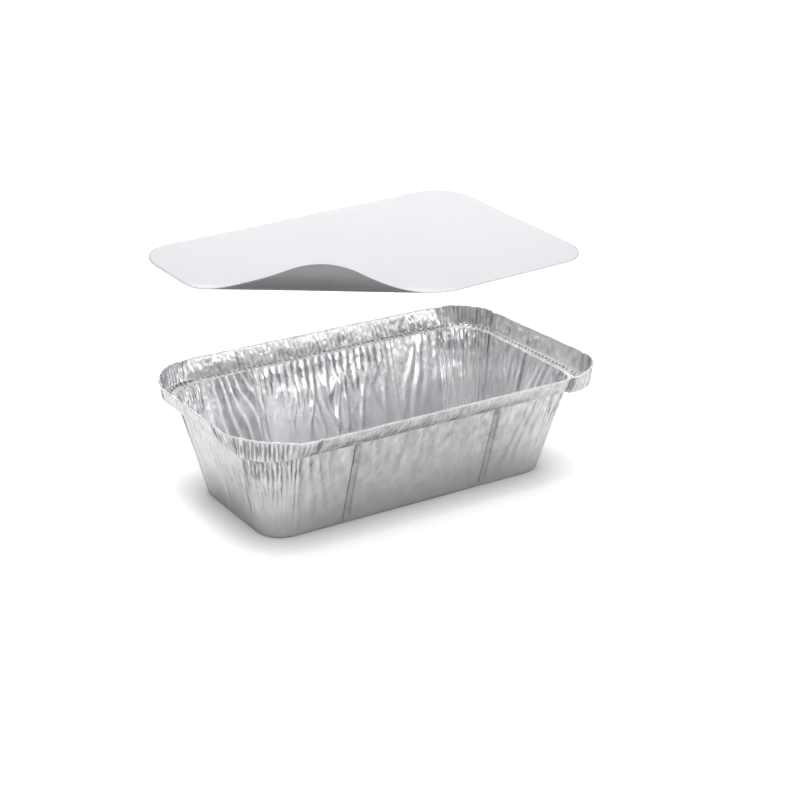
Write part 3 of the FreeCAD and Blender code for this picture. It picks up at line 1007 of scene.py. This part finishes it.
class FOIL_OT_lid(bpy.types.Operator):
    """Build the board lid with its curled corner"""

    bl_idname = "foil_container.lid"
    bl_label = "Lid"

    def execute(self, context):
        scene = context.scene
        lid = Lid(scene.foil_lid)
        piece = column_mesh("board_lid", lid.outline, lid.rows, lid.point)
        piece.data.transform(lid.pose())
        finishes = scene.foil_finishes
        materials = (board_material(finishes), lining_material(finishes), edge_material(finishes))
        thicken(piece, scene.foil_lid.board_gauge, materials, edge=2)
        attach(piece, "root")
        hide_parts("lid")
        return {"FINISHED"}


# Stage


def area_light(name, place, aim_height, wide, tall, power):
    """Light aimed at a height above the middle of the floor."""
    data = bpy.data.lights.new(name, "AREA")
    data.shape = "RECTANGLE"
    data.size, data.size_y = wide, tall
    data.energy = power
    light = placed(name, data)
    light.location = place
    way = Vector((0, 0, aim_height)) - Vector(place)
    light.rotation_euler = way.to_track_quat("-Z", "Y").to_euler()


class FOIL_OT_stage(bpy.types.Operator):
    """Set up the floor, the soft studio light and the camera"""

    bl_idname = "foil_container.stage"
    bl_label = "Stage"

    def make_world(self, scene):
        """Soft studio: a light dome with broad bright and dim areas for the foil to reflect."""
        world = scene.world or bpy.data.worlds.new("studio")
        scene.world = world
        world.use_nodes = True
        tree = world.node_tree
        settings = scene.foil_stage
        where = add(tree, "ShaderNodeTexCoord").outputs["Generated"]
        split = add(tree, "ShaderNodeSeparateXYZ", Vector=where).outputs
        ramp = add(tree, "ShaderNodeValToRGB", Fac=split["Z"])
        elements = ramp.color_ramp.elements
        elements[0].position, elements[0].color = 0.0, (0.12, 0.12, 0.125, 1)
        elements[1].position, elements[1].color = 1.0, (0.7, 0.7, 0.71, 1)
        for place, value in ((0.12, 0.3), (0.3, 1.25), (0.62, 1.1)):
            elements.new(place).color = (value, value, value, 1)
        soft = {"interpolation_type": "SMOOTHSTEP"}
        panels = mapped(tree, clouds(tree, where, 2.3, 0.0), (0.38, 0.62), (0.25, 1.75), **soft)
        lit = computed(tree, "MULTIPLY", panels, ramp.outputs["Color"])
        behind = mapped(tree, split["Y"], (0.1, 0.6), (0.0, settings.backdrop), **soft)
        best = computed(tree, "MAXIMUM", lit, behind)
        strength = computed(tree, "MULTIPLY", best, settings.dome)
        fill(tree, tree.nodes["Background"], Color=(1.0, 1.0, 1.0, 1.0), Strength=strength)

    def paper_material(self, settings):
        """Matt paper with a painted contact shadow, darker close to what stands on it, and burnt
        out in the camera's view by painted light that glows only there.
        """
        material, tree, shader = new_material("floor_paper")
        # painted shadow: the paper's colour darkens where something stands close by
        contact = add(tree, "ShaderNodeAmbientOcclusion", samples=1, Distance=0.02)
        depth = mapped(tree, contact.outputs["AO"], (0.2, 1.0), (0.22, 1.0))
        paper = shaded(tree, settings.floor, depth)
        seen = add(tree, "ShaderNodeLightPath").outputs["Is Camera Ray"]
        fill(
            tree,
            shader,
            **{
                "Base Color": paper,
                "Roughness": 0.9,
                "Specular IOR Level": 0.0,
                "Emission Color": paper,
                "Emission Strength": computed(tree, "MULTIPLY", seen, settings.burn),
            },
        )
        return material

    def make_floor(self, settings):
        bm = bmesh.new()
        bmesh.ops.create_grid(bm, x_segments=8, y_segments=8, size=4.0)
        mesh = bpy.data.meshes.new("floor")
        bm.to_mesh(mesh)
        bm.free()
        mesh.materials.append(self.paper_material(settings))
        floor = placed("floor", mesh)

    def make_camera(self, scene):
        """Camera on a sphere round the origin, moved sideways and up in its own plane."""
        settings = scene.foil_stage
        ahead = math.cos(settings.elevation)
        back = Vector(
            (
                math.sin(settings.azimuth) * ahead,
                -math.cos(settings.azimuth) * ahead,
                math.sin(settings.elevation),
            )
        )
        right = Vector((math.cos(settings.azimuth), math.sin(settings.azimuth), 0))
        up = back.cross(right)
        data = bpy.data.cameras.new("camera")
        data.lens = settings.lens
        data.sensor_width = 36.0
        data.clip_start = 0.01
        turn = Matrix((right, up, back)).transposed().to_4x4()
        eye = back * settings.distance + right * settings.aim_right + up * settings.aim_up
        camera = placed("camera", data)
        camera.matrix_world = Matrix.Translation(eye) @ turn
        scene.camera = camera

    def execute(self, context):
        scene = context.scene
        self.make_floor(scene.foil_stage)
        self.make_world(scene)
        area_light("top", (-0.1, 0.0, 2.6), 0.05, 1.2, 1.2, 24)
        area_light("fill", (0.0, -1.9, 0.95), 0.05, 1.2, 0.6, 6)
        area_light("back", (0.78, 1.22, 0.62), 0.05, 0.9, 0.4, 5)
        area_light("front", (1.0, -1.2, 0.36), 0.06, 0.6, 0.36, 0.9)
        self.make_camera(scene)
        scene.view_settings.view_transform = "Standard"
        return {"FINISHED"}


class FOIL_PT_panel(bpy.types.Panel):
    """Sizes, finishes and pieces of the foil container"""

    bl_idname = "FOIL_PT_panel"
    bl_label = "Foil container"
    bl_space_type = "VIEW_3D"
    bl_region_type = "UI"
    bl_category = "Foil container"

    def draw(self, context):
        layout = self.layout
        for operator in OPERATORS:
            layout.operator(operator.bl_idname)
        for name in GROUPS:
            settings = getattr(context.scene, name)
            box = layout.box()
            for field in settings.__annotations__:
                box.prop(settings, field)


OPERATORS = (FOIL_OT_basin, FOIL_OT_rim, FOIL_OT_lid, FOIL_OT_stage)
GROUPS = {
    "foil_tray": TraySizes,
    "foil_lid": LidSizes,
    "foil_finishes": Finishes,
    "foil_stage": StageSettings,
}


def register():
    for item in (*GROUPS.values(), *OPERATORS, FOIL_PT_panel):
        bpy.utils.register_class(item)
    for name, group in GROUPS.items():
        setattr(bpy.types.Scene, name, bpy.props.PointerProperty(type=group))


def unregister():
    for name in GROUPS:
        delattr(bpy.types.Scene, name)
    for item in (FOIL_PT_panel, *reversed(OPERATORS), *reversed(list(GROUPS.values()))):
        bpy.utils.unregister_class(item)


def main():
    register()
    bpy.ops.foil_container.basin()
    bpy.ops.foil_container.rim()
    bpy.ops.foil_container.lid()
    bpy.ops.foil_container.stage()


if __name__ == "__main__":
    main()
